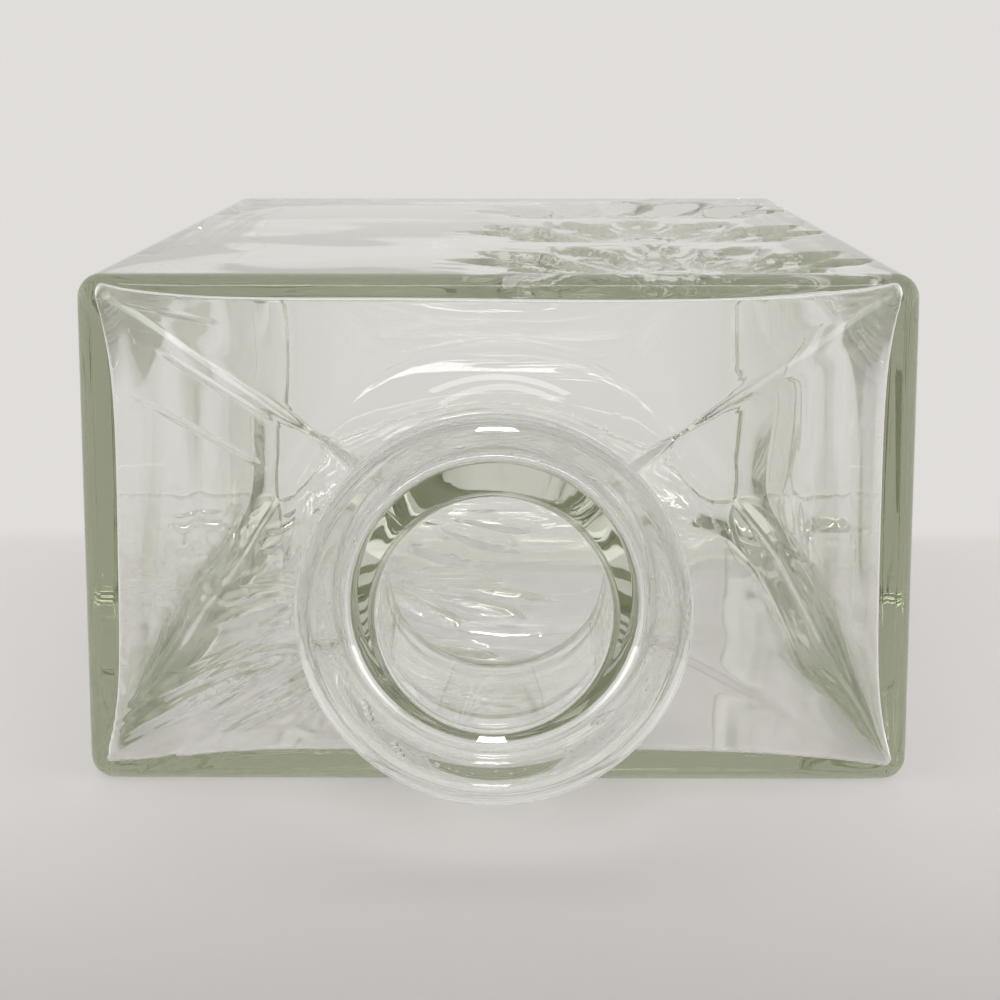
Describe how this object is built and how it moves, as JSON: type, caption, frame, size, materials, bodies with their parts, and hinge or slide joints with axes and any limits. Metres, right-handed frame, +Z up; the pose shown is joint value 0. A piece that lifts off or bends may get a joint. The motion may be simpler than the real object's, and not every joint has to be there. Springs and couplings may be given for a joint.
{
  "type": "glass decanter",
  "caption": "Clear rectangular glass decanter lying on a broad face, with a hipped shoulder, a short neck and a wide rounded lip.",
  "frame": {"origin": "on the lower broad face, under the middle of the whole decanter from lip to base", "axes": "the decanter lies on a broad face: +Z up through its thickness, +Y from the mouth to the base along the neck's axis, +X across the body to the right as seen from the mouth. Turn it by -90 degrees about X to stand it on its base."},
  "size_m": [0.1, 0.2078, 0.062],
  "materials": {
    "body_glass": "clear, faintly green, smooth with slight waves",
    "lip_glass": "clear, faintly green, fire-polished, with a few small bubbles"
  },
  "bodies": {
    "root": {"glass_body": "body_glass", "lip_ring": "lip_glass"}
  },
  "joints": []
}
